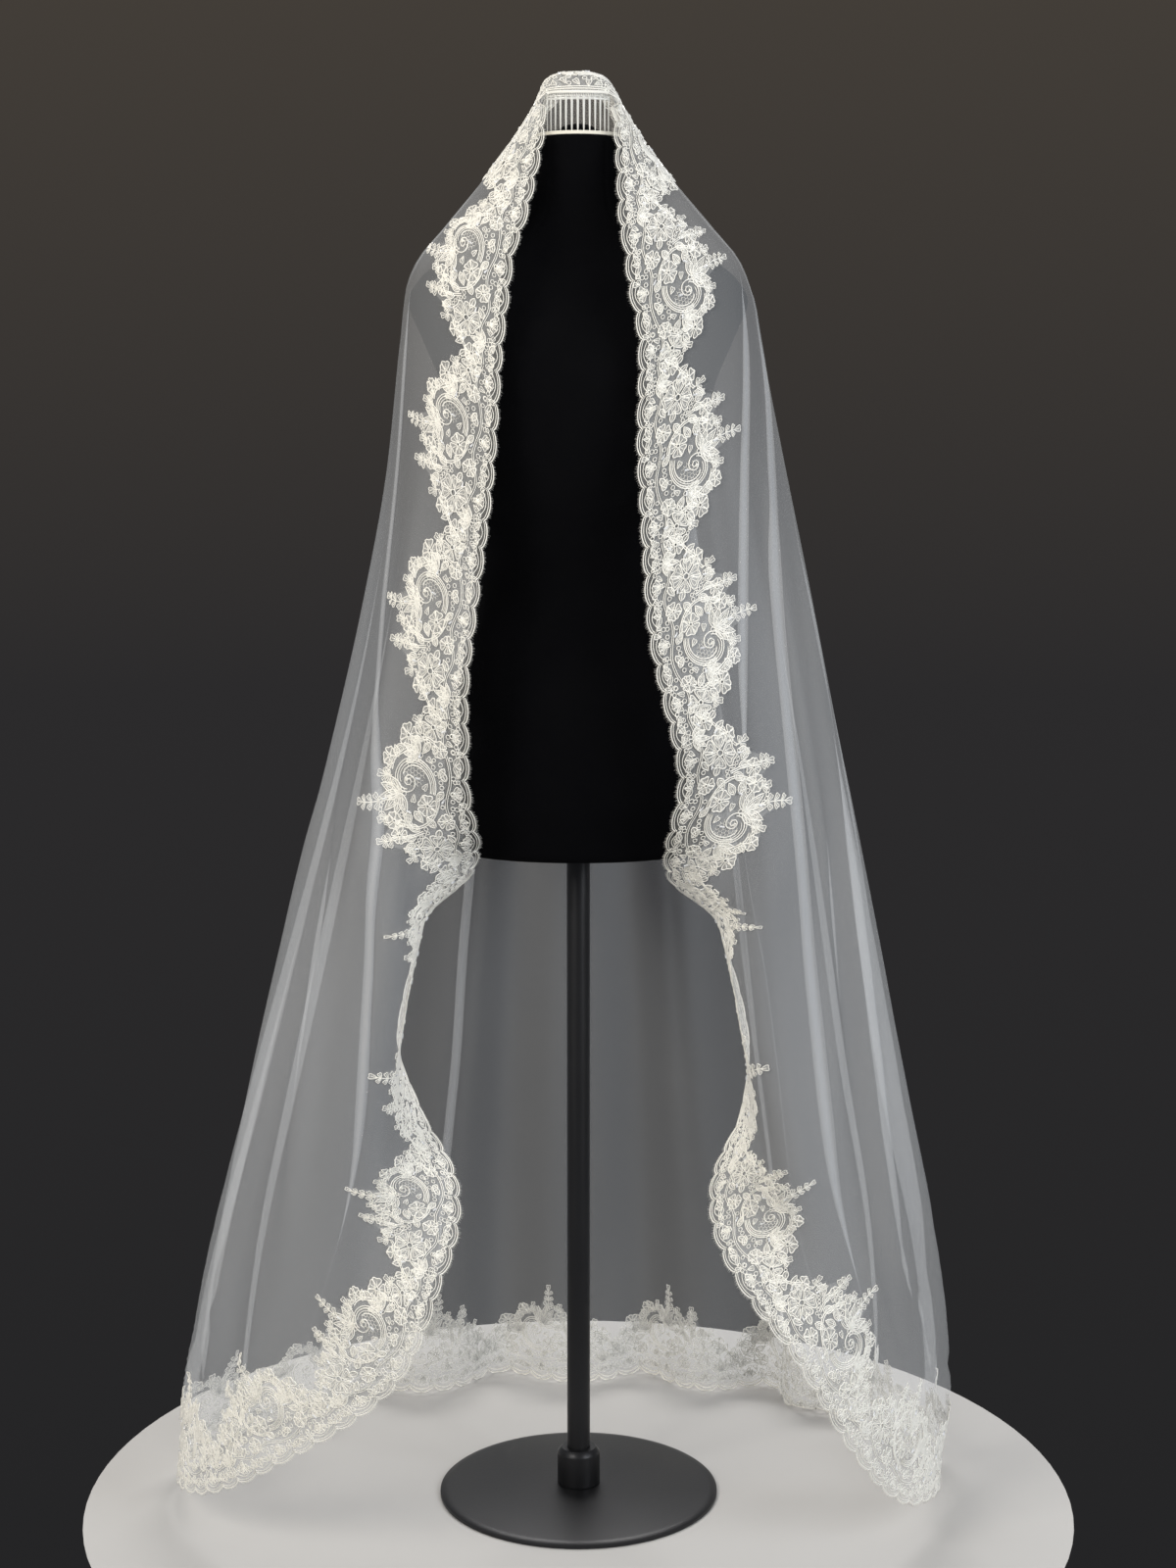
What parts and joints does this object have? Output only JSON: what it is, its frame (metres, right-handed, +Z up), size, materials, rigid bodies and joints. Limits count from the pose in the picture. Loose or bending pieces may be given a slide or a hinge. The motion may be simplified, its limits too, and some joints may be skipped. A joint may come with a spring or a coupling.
{
  "type": "bridal veil on dress form",
  "caption": "Floor-length tulle bridal veil with a scalloped lace border and a comb, hung over a limbless velvet dress form on a round stand.",
  "frame": {"origin": "centre of the stand base's underside, on the floor", "axes": "+Z up, the front opening of the veil faces -Y, +X is to the viewer's right"},
  "size_m": [0.9534, 0.6627, 1.6985],
  "materials": {
    "tulle": "sheer soft net, faint sheen",
    "lace": "corded ivory lace, satin thread",
    "comb": "clear moulded plastic",
    "velvet": "black velvet pile",
    "neck_ring": "cream, matte",
    "metal": "black satin paint"
  },
  "bodies": {
    "root": {"tulle": "tulle", "lace_crown": "lace", "lace_left_front": "lace", "lace_left_hem": "lace", "lace_right_hem": "lace", "lace_right_front": "lace", "comb": "comb", "dress_form": "velvet", "neck_ring": "neck_ring", "neck_cap": "velvet", "stand_base": "metal", "stand_collar": "metal", "stand_pole": "metal"}
  },
  "joints": []
}
